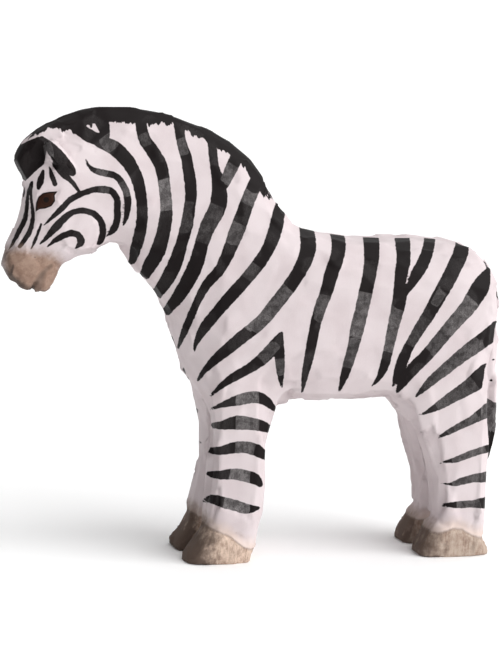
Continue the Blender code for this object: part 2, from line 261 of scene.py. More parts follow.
def knifeFlats():
    # a modifier tree: every point moves to the flat of its own cell, and a little to the next one
    group = bpy.data.node_groups.new("knifeFlats", "GeometryNodeTree")
    group.is_modifier = True
    names = ("Flat Size", "Grain", "Belly Height", "Lift", "Depth", "Crease", "Reach", "Seed", "Share")
    group.interface.new_socket("Geometry", in_out="INPUT", socket_type="NodeSocketGeometry")
    for name in names:
        group.interface.new_socket(name, in_out="INPUT", socket_type="NodeSocketFloat")
    group.interface.new_socket("Material", in_out="INPUT", socket_type="NodeSocketMaterial")
    group.interface.new_socket("Geometry", in_out="OUTPUT", socket_type="NodeSocketGeometry")
    tree = Tree(group)
    entry = tree.add("NodeGroupInput", out=None)
    given = {socket.name: Wire(tree, socket) for socket in entry.outputs if socket.name}
    size, grain, belly, seed = (given[name] for name in ("Flat Size", "Grain", "Belly Height", "Seed"))
    place, normal = tree.add("GeometryNodeInputPosition"), tree.add("GeometryNodeInputNormal")
    vectors = {"data_type": "FLOAT_VECTOR"}

    def blurred(value, steps):
        return tree.add("GeometryNodeBlurAttribute", vectors, {"Value": value, "Iterations": steps})

    def atMiddle(middle, value):
        sockets = {"Mesh": given["Geometry"], "Sample Position": middle, "Value": value}
        return tree.add("GeometryNodeSampleNearestSurface", vectors, sockets)

    evenPlace = blurred(place, carving["placeBlur"])
    evenNormal = blurred(normal, carving["facingBlur"])
    shift = tree.add("ShaderNodeCombineXYZ", {}, {0: seed, 1: seed, 2: seed})
    spot = grainSpace(tree, place, belly, grain) + tree.scaled(normal, size * given["Lift"])
    spot = tree.scaled(spot, 1.0 / size) + shift
    moves, weights, distances, tones, sides = [], [], [], [], []
    for feature in ("F1", "F2"):
        sockets = {"Vector": spot, "Scale": 1.0, "Randomness": carving["scatter"]}
        cells = tree.add("ShaderNodeTexVoronoi", {"feature": feature}, sockets, out=None)
        middle = tree.scaled(Wire(tree, cells.outputs["Position"]) - shift, size)
        middle = grainSpace(tree, middle, belly, grain, unfold=True)
        dice = tree.add("ShaderNodeSeparateXYZ", {}, {0: Wire(tree, cells.outputs["Color"])}, out=None)
        flatPlace = atMiddle(middle, evenPlace)
        facing = atMiddle(middle, evenNormal)
        facing = tree.add("ShaderNodeVectorMath", {"operation": "NORMALIZE"}, {0: facing})
        agree = tree.dot(facing, normal)
        sink = given["Depth"] * Wire(tree, dice.outputs[0])
        push = tree.dot(facing, flatPlace - place) - sink
        moves.append(push / tree.math("MAXIMUM", agree, carving["leastFacing"]))
        distances.append(Wire(tree, cells.outputs["Distance"]))
        closeness = 1.0
        if feature == "F2":
            closeness = tree.math("EXPONENT", (distances[0] - distances[1]) / given["Crease"])
        weights.append(tree.math("GREATER_THAN", agree, carving["sameSide"]) * closeness)
        tones.append(Wire(tree, dice.outputs[1]))
        side = tree.add("ShaderNodeSeparateXYZ", {}, {0: facing}, out=None)
        sides.append(tree.math("ABSOLUTE", Wire(tree, side.outputs[1])))
    total = tree.math("MAXIMUM", weights[0] + weights[1], carving["leastWeight"])

    def mean(pair):
        return (pair[0] * weights[0] + pair[1] * weights[1]) / total

    move = tree.math("MAXIMUM", tree.math("MINIMUM", mean(moves), given["Reach"]), given["Reach"] * -1.0)
    offset = tree.scaled(normal, move * given["Share"])
    wood = given["Geometry"]
    even = tree.add("ShaderNodeSeparateXYZ", {}, {0: evenNormal}, out=None)
    kept = {"flatTone": mean(tones), "flatSide": mean(sides)}
    for number, name in enumerate(("evenX", "evenY", "evenZ")):
        kept[name] = Wire(tree, even.outputs[number])
    settings = {"data_type": "FLOAT", "domain": "POINT"}
    for name, value in kept.items():
        sockets = {"Geometry": wood, "Name": name, "Value": value}
        wood = tree.add("GeometryNodeStoreNamedAttribute", settings, sockets)
    wood = tree.add("GeometryNodeSetPosition", {}, {"Geometry": wood, "Offset": offset})
    wood = tree.add("GeometryNodeRealizeInstances", {}, {"Geometry": wood})
    wood = tree.add("GeometryNodeSetMaterial", {}, {"Geometry": wood, "Material": given["Material"]})
    tree.add("NodeGroupOutput", {}, {"Geometry": wood}, out=None)
    return group


def whittle(made, material):
    # the body's flats first, then the head's smaller ones, each kept to its own end of the figure
    x, y, z = (coordinates(made.data) / mm).T
    start, length = gentle["headFade"]
    head = np.clip((carving["headFrom"] + start - x) / length, 0, 1)
    crest = (np.abs(y) < gentle["crestHalf"]) & (z > gentle["crestAbove"]) & (x < gentle["crestAhead"])
    ears = (x < gentle["earsAhead"]) & (z > gentle["earsAbove"])
    ears &= (np.abs(y) > gentle["earsBeside"]) | (x < gentle["forelockAhead"])
    muzzle = (x < gentle["muzzleAhead"]) & (z < gentle["muzzleBelow"])
    hooves = np.clip((gentle["hoovesBelow"] - z) / gentle["hoovesFade"], 0, 1)
    full = 1 - gentle["crestLess"] * crest - gentle["earsLess"] * (ears & ~crest)
    full -= gentle["muzzleLess"] * muzzle + gentle["hoovesLess"] * hooves
    for name, share in (("bodyShare", (1 - head) * full), ("headShare", head * full)):
        made.data.attributes.new(name, "FLOAT", "POINT").data.foreach_set("value", share)
    group = knifeFlats()
    ids = {item.name: item.identifier for item in group.interface.items_tree if item.in_out == "INPUT"}
    for size, share in ((carving["flat"], "bodyShare"), (carving["headFlat"], "headShare")):
        cut = made.modifiers.new("knifeFlats", "NODES")
        cut.node_group = group
        values = {
            "Flat Size": size * mm,
            "Grain": carving["grain"],
            "Belly Height": carving["bellyHeight"] * mm,
            "Lift": carving["lift"],
            "Depth": carving["depth"] * mm,
            "Crease": carving["crease"],
            "Reach": carving["reach"] * mm,
            "Seed": carving["seed"],
            "Material": material,
        }
        for name, value in values.items():
            cut[ids[name]] = value
        cut[ids["Share"] + "_use_attribute"] = True
        cut[ids["Share"] + "_attribute_name"] = share
    evaluated(made)
    for name in ("bodyShare", "headShare"):
        made.data.attributes.remove(made.data.attributes[name])


# Brush strokes, each a row of (x, y, width) in picture pixels along the brush's path.
stripes = {
    "maneRoot1": [(78, 130, 10), (88, 138, 8), (100, 142, 9)],
    "maneRoot1b": [(105, 120, 8), (106, 132, 8), (106, 141, 6)],
    "neck1": [(100, 142, 12), (114, 148, 15), (129, 163, 14), (138.5, 183, 12), (141.8, 203, 11),
        (142, 221, 11.6), (138.8, 238, 12), (135.5, 249, 11), (133.8, 256, 9), (132, 261, 7)],
    "neck2": [(140, 118, 11), (144, 138, 12), (152.5, 151, 13), (161, 166, 13), (164, 183, 12),
        (166, 200, 12), (166, 216, 13), (163, 234, 14), (157.5, 252, 15), (150, 265, 14),
        (145.5, 274, 11)],
    "neck3": [(178, 120, 10), (181.6, 143, 10), (186, 156, 11), (189, 173, 12), (191, 189, 12),
        (190, 206, 11.5), (186.5, 226, 12.5), (182, 242.5, 12), (176, 261, 14), (167.5, 279, 14),
        (157, 294, 11)],
    "neck4": [(211.5, 138, 9), (214, 163, 9), (217, 178, 11), (219.5, 193, 16), (217, 209, 17),
        (209, 224, 16), (202, 242.5, 14), (197, 261, 15), (189, 279, 15), (179, 295.6, 13),
        (167, 311, 9)],
    "neck4b": [(240, 150, 12), (234, 163, 13), (223, 186, 10)],
    "neck5": [(258, 180, 15), (252, 191, 14), (246, 206, 14), (241, 220, 15), (235.7, 234, 15),
        (228.6, 252, 13), (219.6, 270, 11), (207, 284, 10), (198, 300, 8), (191, 316, 8), (184, 332.5, 7),
        (178, 348, 2.5)],
    "neck6": [(281, 204, 11), (278, 217, 13), (275, 231, 14), (268, 249, 13), (257, 266, 13),
        (244.6, 281, 12.5), (230, 297, 12.5), (218, 311, 11.6), (205, 327, 10.7), (197, 341, 6),
        (194, 351, 1.5)],
    "trunk1": [(305, 222, 13), (307.5, 235, 15), (308, 249, 16), (303.6, 263, 15), (296, 277, 14),
        (286, 291, 14), (273, 307.5, 14), (261, 322, 13), (246, 334, 13), (230, 347, 12), (216, 359, 10),
        (205, 370, 6), (198, 380, 3)],
    "trunk2a": [(281, 334, 5), (275, 345, 12), (264, 357.5, 12.5), (250, 368, 10), (234, 377, 9),
        (221, 386, 6), (210, 396.5, 2)],
    "trunk2b": [(281, 336, 5), (280, 350, 9), (280, 360, 10), (280.5, 372, 8), (281.6, 387, 2)],
    "trunk3": [(334, 226, 12), (338.5, 241, 14), (337.5, 256, 14), (332, 272, 14), (327, 290, 13),
        (321, 306, 12), (316, 322, 11), (312.5, 340, 10.5), (309, 357.5, 9.5), (305, 375, 7),
        (302, 392, 2)],
    "trunk4": [(369, 228, 15), (371.5, 243, 16), (371.5, 259, 15), (369, 277, 13.5), (365, 295, 14),
        (361, 313, 13.5), (357, 329, 14), (353.6, 345, 11.5), (349, 361, 10.5), (344, 377, 8),
        (339, 392, 2)],
    "trunk5": [(400, 226, 14), (402.5, 241, 15), (403.6, 257, 14), (402.5, 273, 15), (401, 289, 15),
        (398, 307, 13.5), (393, 328, 11.5), (388.7, 348.6, 10), (384, 367, 9), (378, 379, 5),
        (372, 386, 1.5)],
    "trunk5b": [(430, 230, 11), (429, 245, 11.5), (424, 261, 12.6), (416, 275, 12), (406, 290, 9)],
    "trunk6": [(463, 236, 12), (461, 252, 15), (455, 266, 15), (447, 282, 15), (438, 298, 14),
        (429, 314, 12.6), (420, 328, 11.5), (410.5, 344, 10), (403.6, 358, 11), (398.5, 372, 10),
        (393, 386, 2)],
    "rump1": [(488, 270, 5), (484, 279, 13), (479.5, 289, 18), (468, 307, 16), (454, 323, 14),
        (440, 339.5, 13), (426.6, 355.5, 12.6), (413, 369, 12), (402.5, 383, 9), (397, 392, 3)],
    "rump2": [(496, 326, 10), (491, 334, 15), (475, 346, 15), (459, 358, 13), (442.6, 371.5, 11),
        (429, 383, 9), (416.5, 396, 2.5)],
    "rump3": [(488, 373, 20), (480.5, 378.4, 19), (468, 387.6, 15), (454, 396, 12), (440, 405, 9),
        (425, 413, 3), (419, 414, 2)],
    "rumpJoin": [(404, 364, 5), (400, 373, 8), (396.5, 381, 6)],
    "tailRoot": [(484, 261.5, 1.2), (487.4, 268, 1.6), (489.6, 276, 1.4)],
    "hind1": [(489, 409, 13), (482.5, 413.6, 12), (472, 420, 8.5), (460, 426, 7), (449, 432, 5.5),
        (439, 437, 2.5)],
    "hind2": [(494, 447, 8), (479.5, 451, 7), (468, 455, 7), (456.5, 459.5, 6), (449, 461, 3.5),
        (440, 463, 1)],
    "hind3": [(496, 474, 10), (483, 477.4, 10), (472, 478.6, 8), (459.6, 482, 7), (453, 484, 4),
        (441, 483, 1)],
    "hind4": [(496, 502, 12), (483, 503, 11), (472, 504, 7.5), (459.6, 504.7, 7.5), (450, 505, 5),
        (442, 505, 2.5)],
    "front1": [(211, 409, 2), (225, 404, 6.5), (238.6, 400, 11), (254.7, 397, 12), (266, 401, 10),
        (274, 409, 5)],
    "front2": [(213.5, 425.5, 6), (224, 425, 9.5), (237, 422.6, 14), (252, 424, 12.5), (262, 426, 11),
        (270, 429.5, 7)],
    "front3": [(210, 450.5, 6), (222, 450.5, 9), (235.6, 447.5, 11.5), (247, 447.5, 12), (258, 451, 12),
        (266, 457.5, 6)],
    "front4": [(209, 474, 6), (221, 475, 9), (233, 474, 11), (244, 475.4, 12), (255, 479, 11),
        (260, 484.5, 6)],
    "front5": [(202, 501, 2), (212, 499, 9), (224, 502.6, 11), (235.6, 505.5, 11), (247, 509, 10),
        (258, 508, 4)],
    "nose1": [(31.6, 182.5, 3), (28, 193, 3), (26.8, 207, 4), (25, 219, 5), (19, 231, 5), (12.4, 244, 3),
        (8.6, 249.5, 1)],
    "nose2": [(32.5, 181.6, 2), (31, 193, 3), (32, 205.5, 3), (33, 217, 4), (30.6, 229, 5), (26, 238, 5),
        (19.6, 246.7, 4)],
    "nose3": [(41, 224.6, 2.5), (38, 233, 3), (34.4, 242, 3), (30.6, 249.5, 1)],
    "brow1": [(43, 171, 3), (40.5, 181, 7), (38.5, 188, 4)],
    "brow2": [(49.5, 167, 2), (52, 176, 5), (55, 184, 5)],
    "earTail": [(56, 164, 8), (64, 174, 8), (70, 180, 5), (76, 187, 4), (82, 195, 1)],
    "cheek1": [(44, 225, 1), (51, 218.7, 3.5), (60.5, 209.5, 6), (70, 200, 6), (81, 194, 6), (93, 190, 6),
        (102, 189.5, 7.5), (111, 191, 7), (117, 199, 6.5), (117.3, 209.5, 7), (117, 221, 7),
        (113, 230, 7), (108.7, 235, 2)],
    "cheek2": [(40, 244, 2), (48, 236, 5), (56, 227, 8), (65, 217.6, 7), (74, 212, 6), (83.5, 210.7, 6),
        (94, 214, 6.5), (100.7, 221, 6.5), (103, 230, 7), (100.7, 240.5, 6.5), (96.7, 244.6, 1)],
    "cheek3": [(47, 247, 1), (55, 240.5, 5), (63, 236, 6.5), (72, 233, 6.5), (79, 236, 7), (81, 242, 7.5),
        (77.7, 246, 4), (75, 248.6, 1)],
    "hook": [(86, 159.6, 2), (89, 166, 3), (95, 170.5, 6), (105, 173, 7), (115.6, 176, 6.5),
        (122.5, 184, 7), (127, 194.6, 7.5), (127.7, 206, 7), (126, 217.6, 5), (123, 226, 1)],
    "ear": [(42, 139, 6), (48, 145, 10), (56, 154, 13), (64, 164, 14), (70, 170, 11), (73, 173, 6)],
}
# Where the black paint is scuffed thin and carries a painted sheen, each with how far it is scuffed through
# and lightened.
rubbedAndSheenPatches = [
    (0.6, [(46, 144, 7), (48, 152, 8), (49, 162, 6)]),
    (0.5, [(105, 136, 14), (114, 148, 14)]),
    (0.9, [(163, 180, 20), (166, 209, 20)]),
    (0.4, [(142, 133, 12), (148, 147, 12)]),
    (0.5, [(178, 139, 12), (184, 156, 12)]),
    (0.3, [(187, 200, 16), (182, 233, 16)]),
    (0.35, [(216, 204, 20), (208, 224, 20), (201, 244, 18)]),
    (0.55, [(236, 166, 16), (226, 184, 16)]),
    (0.65, [(254, 193, 20), (249, 204, 20)]),
    (0.55, [(240, 226, 18), (231, 243, 18)]),
    (0.4, [(256, 264, 16), (246, 278, 16)]),
    (0.4, [(98, 187, 10), (110, 189, 12)]),
    (0.5, [(97, 170, 10), (107, 174, 12)]),
    (0.5, [(122, 182, 12), (129, 196, 12)]),
    (0.6, [(288, 288, 24), (268, 313, 24)]),
    (0.95, [(270, 310, 26), (253, 332, 26)]),
    (0.6, [(274, 342, 18), (258, 360, 18)]),
    (0.6, [(280, 358, 16), (282, 375, 14)]),
    (0.5, [(326, 296, 18), (321, 322, 18)]),
    (0.95, [(366, 291, 20), (362, 310, 20), (356, 336, 20)]),
    (0.5, [(354, 340, 16), (348, 368, 16)]),
    (0.75, [(399, 308, 20), (393, 328, 20), (386, 350, 18)]),
    (0.7, [(443, 290, 14), (433, 307, 12)]),
    (0.35, [(425, 318, 16), (409, 346, 16)]),
    (0.95, [(473, 301, 26), (460, 316, 26), (446, 333, 24)]),
    (0.5, [(446, 333, 18), (430, 352, 16)]),
    (0.6, [(479, 338, 24), (464, 352, 24), (440, 374, 20)]),
    (0.4, [(438, 375, 16), (424, 388, 12)]),
    (0.5, [(475, 381, 28), (456, 396, 22), (438, 406, 16)]),
    (0.55, [(476, 416, 18), (462, 424, 14), (448, 432, 12)]),
    (0.8, [(487, 450, 16), (470, 454, 14), (452, 460, 12)]),
    (0.75, [(487, 477, 16), (470, 479, 14), (452, 483, 12)]),
    (0.7, [(481, 503, 16), (468, 505, 14), (456, 505, 12)]),
    (0.95, [(493, 390, 20), (492, 432, 20)]),
    (0.95, [(249, 390, 22), (248, 424, 25), (245, 450, 20), (241, 476, 19), (236, 516, 26)]),
    (0.4, [(211, 424, 14), (219, 424, 14)]),
    (0.5, [(203, 501, 12), (211, 500, 12)]),
]
# Small marks on the far legs and beyond the chest, where no whole stripe is seen.
farMarks = [
    [(196.7, 409, 2), (197, 412, 2)],
    [(199, 442, 2.4), (200.6, 443, 2)],
    [(408, 491, 2), (408.4, 495, 2)],
    [(184, 369, 3), (190.5, 378, 4), (196, 384, 4.4), (197.6, 387, 3.4)],
]
tailMarks = [
    [(496.2, 293.5, 4), (497, 298, 4)],
    [(492.5, 359.3, 2.4), (493.8, 359.6, 2)],
    [(490.8, 380, 2.6), (492, 380.3, 2)],
]
# The wide root of the first neck stripe, and bare places inside the black.
maneRoot = [(78, 122), (109, 116), (109.5, 143), (101, 147), (90, 140.5), (79, 134)]
bareGaps = [
    [(85, 125.5), (95, 123.5), (100.5, 134.5)],
    [(409.5, 266), (413, 266), (407.4, 283), (405, 287)],
    [(484.8, 369.5), (487, 362), (499, 362), (499, 398), (480.8, 396)],
]

# The mane's ragged lower edge and the forelock's outline, in picture pixels.
maneEdge = [(20, 140), (33, 136), (50, 128), (66, 131), (80, 133), (94, 124), (108, 121.5), (134, 124),
    (171, 124), (185, 131), (206, 141), (229, 154), (243, 166), (257, 190), (264, 196), (271, 198)]
forelock = [(44, 138), (39, 136.8), (31, 139.5), (24, 143), (10, 150), (4, 160), (8, 172), (22, 184),
    (27, 179.5), (36, 171), (44, 164), (47, 150)]


# How a stroke is followed, and how far the far side's stripes stray from the near side's.
hand = {
    "curveSteps": 3,
    "margin": 25,  # picture pixels, no stroke is wider than twice this
    "sway": 2.4,  # picture pixels
    "length": 22.0,  # mm from one sway to the next
    "seeds": (3, 4),
    "fade": 3.0,  # mm, from the middle line
}


def splineRow(points, steps):
    # a smooth curve through the points
    p = np.array(points, float)
    p = np.vstack([2 * p[0] - p[1], p, 2 * p[-1] - p[-2]])
    t = np.linspace(0, 1, steps, endpoint=False)[:, None]
    rows = []
    for a, b, c, d in zip(p, p[1:], p[2:], p[3:]):
        square, cube = 2 * a - 5 * b + 4 * c - d, -a + 3 * b - 3 * c + d
        rows.append(0.5 * (2 * b + (c - a) * t + square * t**2 + cube * t**3))
    rows.append(p[-2:-1])
    return np.vstack(rows)


def strokeDepth(spots, points, square=False):
    # how far inside one stroke each picture spot lies, in pixels, negative outside it
    row = splineRow(points, hand["curveSteps"])
    best = np.full(len(spots), -1e3)
    lo, hi = row[:, :2].min(0) - hand["margin"], row[:, :2].max(0) + hand["margin"]
    near = np.nonzero(((spots > lo) & (spots < hi)).all(1))[0]
    here = spots[near]
    inside = np.full(len(near), -1e3)
    for a, b in zip(row, row[1:]):
        along = b[:2] - a[:2]
        t = np.clip((here - a[:2]) @ along / max(along @ along, 1e-9), 0, 1)
        away = np.linalg.norm(here - a[:2] - t[:, None] * along, axis=1)
        inside = np.maximum(inside, (a[2] + t * (b[2] - a[2])) / 2 - away)
    if square:
        for end, inward in ((row[0], row[1] - row[0]), (row[-1], row[-2] - row[-1])):
            inside = np.minimum(inside, (here - end[:2]) @ inward[:2] / np.linalg.norm(inward[:2]))
    best[near] = inside
    return best


def outlineDepth(spots, corners):
    # signed distance to a closed outline, positive inside
    corners = np.array(corners, float)
    away = np.full(len(spots), 1e3)
    inside = np.zeros(len(spots), bool)
    for a, b in zip(corners, np.roll(corners, -1, axis=0)):
        along = b - a
        t = np.clip((spots - a) @ along / (along @ along), 0, 1)
        away = np.minimum(away, np.linalg.norm(spots - a - t[:, None] * along, axis=1))
        crosses = (a[1] > spots[:, 1]) != (b[1] > spots[:, 1])
        slope = (b[0] - a[0]) / (b[1] - a[1] + 1e-12)
        inside ^= crosses & (spots[:, 0] < a[0] + (spots[:, 1] - a[1]) * slope)
    return np.where(inside, away, -away)


def slowWaves(points, size, seed):
    # a cheap smooth noise between -1 and 1 made of a few waves
    rng = np.random.default_rng(seed)
    out = np.zeros(len(points))
    for _ in range(5):
        out += np.sin(points @ (rng.normal(size=3) * 2 * math.pi / size) + rng.uniform(0, 6.28))
    return out / 3.2


face = {
    "eye": [(35.6, 211.5), (36.2, 203), (38.5, 197), (43, 193.2), (49, 192), (57.5, 191.5), (54.5, 195),
        (55, 201), (51.5, 206), (45, 208.5), (39.5, 209)],
    "eyeMiddle": (46.2, 199.8),
    "sideways": 0.35,  # a surface that faces sideways by this much takes the whole cut
    "eyeBulge": 0.28,  # mm
    "eyeRound": 0.6,
    "lidGroove": 0.22,
    "lidOut": 0.15,
    "lidWidth": 0.28,
    # mm deep, mm of slope beside the line, and how much of it is cut where the wood faces forward
    "cuts": {
        "mouthLine": (0.22, 0.35, 0.3),
        "mouthGap": (0.6, 0.25, 1.0),
        "nostril": (0.30, 0.22, 1.0),
        "jawCrease": (0.22, 0.4, 0.0),
    },
    # the mouth's groove: cut into the wood, and darkened with painted shade
    "mouthLine": [(31, 290, 3), (33.5, 286, 2.5), (37, 281, 2), (41, 275, 2), (46, 270, 1.6),
        (51, 266, 1)],
    "mouthGap": [(31.6, 294, 2.4), (33.6, 287, 2), (35.2, 283.5, 1)],
    "upperLip": (26.0, 287.5, 5.0, 0.50),  # picture place, reach in pixels, mm outward
    "lowerLip": (40.5, 294.0, 3.0, -0.45),
    "lipsFacing": 0.4,
    "lipShade": [(38.5, 288.5, 6), (40.5, 283, 5), (43.5, 275, 2)],
    "nostril": [(13, 265.5, 0.6), (11.6, 270, 1.4), (10.2, 274, 1)],
    "muzzleEdge": [(0, 246), (22, 247), (34, 250), (46, 251), (56, 254), (63, 262), (72, 300),
        (0, 310)],
    "jawCrease": [(62, 245, 3), (67, 248.5, 3), (73, 252.5, 2)],
    "whiskers": [(27, 258, 8), (33, 260, 9), (38, 263, 7)],
}

hoofs = {
    "hindFrom": 20.0,  # mm, the hind hooves lie behind this
    "frontX": (-16.5, -12.2, -7.6, -4.5, -2.0),  # mm, the upper edge of the stained horn
    "frontZ": (8.8, 7.9, 5.9, 3.4, 2.6),
    "hindX": (34.0, 38.0, 41.5, 43.5, 46.0, 48.5, 50.0),
    "hindZ": (5.8, 5.2, 6.1, 5.8, 4.3, 3.6, 3.5),
    "frontToe": -16.6,  # mm, the dark of the toe starts here
    "hindToe": 34.2,
    "toeLength": 9.0,
    "frontDark": 1.15,
    "hindDark": 0.75,
    "groove": 0.14,  # mm deep, round the upper edge
    "grooveWidth": 0.45,
    "grooveFacing": 0.3,
}

tail = {
    "from": 49.7,  # mm, everything here is behind the hind legs
    "halfWidth": 2.8,
    "below": 61.0,
    "tuftFrom": 49.5,
    "tuftTop": 33.0,
    "tuftHalf": 2.9,
    "tuftMiddle": 50.5,
    "tuftSlope": 0.45,
    "tuftRagged": 0.3,
    "tuftWaves": 3.0,
    "tuftSeed": 9,
    "axis": 50.4,  # mm, the tuft narrows towards this line
    "narrowHalf": 3.5,
    "narrowFrom": 38.0,
    "taperTop": 36.0,
    "taperLength": 16.0,
    "taper": 0.38,
}


def foldedSpots(co):
    # each point's place in the picture, the far side folded onto the near one
    near = co.copy()
    near[:, 1] = -np.abs(co[:, 1])
    return toPicture(near)


def unsteadySpots(co):
    # the same, with the far side painted by its own unsteady hand
    farSide = np.clip(co[:, 1] / hand["fade"], 0, 1)[:, None]
    waves = [slowWaves(co, hand["length"], seed) for seed in hand["seeds"]]
    return foldedSpots(co) + farSide * hand["sway"] * np.stack(waves, -1)


def hoofEdge(x):
    front = np.interp(x, hoofs["frontX"], hoofs["frontZ"])
    hind = np.interp(x, hoofs["hindX"], hoofs["hindZ"])
    return np.where(x < hoofs["hindFrom"], front, hind)


def carveDetails(made):
    # the face, the hooves' rims and the tuft, cut into the finished flats
    mesh = made.data
    co, normals = coordinates(mesh) / mm, normalsOf(mesh)
    spots = foldedSpots(co)
    scale = view["pixelsPerMm"]
    outward = np.clip(normals[:, 1] * np.sign(co[:, 1]) / face["sideways"], 0, 1)
    eye = outlineDepth(spots, face["eye"]) / scale
    push = face["eyeBulge"] * np.clip(eye, 0, 1) ** face["eyeRound"]
    push -= face["lidGroove"] * np.exp(-((eye + face["lidOut"]) / face["lidWidth"]) ** 2)
    push *= outward
    for name, (depth, slope, ahead) in face["cuts"].items():
        inside = strokeDepth(spots, face[name]) / scale
        push -= depth * np.clip(1 + inside / slope, 0, 1) * np.clip(ahead + outward, 0, 1)
    downward = np.clip(face["lipsFacing"] - normals[:, 2], 0, 1)
    for name in ("upperLip", "lowerLip"):
        column, row, reach, amount = face[name]
        away = np.hypot(spots[:, 0] - column, spots[:, 1] - row)
        push += amount * np.exp(-((away / reach) ** 2)) * downward
    push *= co[:, 0] < carving["headFrom"]
    rim = (co[:, 2] - hoofEdge(co[:, 0])) / hoofs["grooveWidth"]
    push -= hoofs["groove"] * np.exp(-(rim ** 2)) * (outward > hoofs["grooveFacing"])
    co += normals * push[:, None]
    x, y, z = co.T
    tuft = (x > tail["axis"]) & (np.abs(y) < tail["narrowHalf"]) & (z < tail["narrowFrom"])
    narrow = 1 - tail["taper"] * np.clip((tail["taperTop"] - z) / tail["taperLength"], 0, 1)
    co[:, 0] = np.where(tuft, tail["axis"] + (x - tail["axis"]) * narrow, x)
    co = np.clip(co, np.array(cadBox[0]) / mm, np.array(cadBox[1]) / mm)
    mesh.vertices.foreach_set("co", (co * mm).ravel())
    mesh.update()


def stored(mesh, name):
    out = np.empty(len(mesh.vertices))
    mesh.attributes[name].data.foreach_get("value", out)
    return out


# Where the stripes stop: limits in mm, and how far the surface faces away.
limits = {
    "belly": {"above": 30.0, "below": 45.0, "behind": -16.0, "facing": 0.85},
    "backRidge": {"above": 55.0, "behind": -10.0, "beyond": 0.5, "facing": 0.66},
    "fade": 0.1,
    "legsBelow": 34.0,
    "innerFacing": -0.25,
    "farFacing": 0.3,
    "farForward": 0.4,
    "marksBeyond": -0.8,
    "marksForward": -0.3,
    "off": 6.0,
    "maneBack": 272.0,  # picture pixels, the mane ends here on the back
    "maneSlope": 0.8,
    "headFrom": -38.0,
}


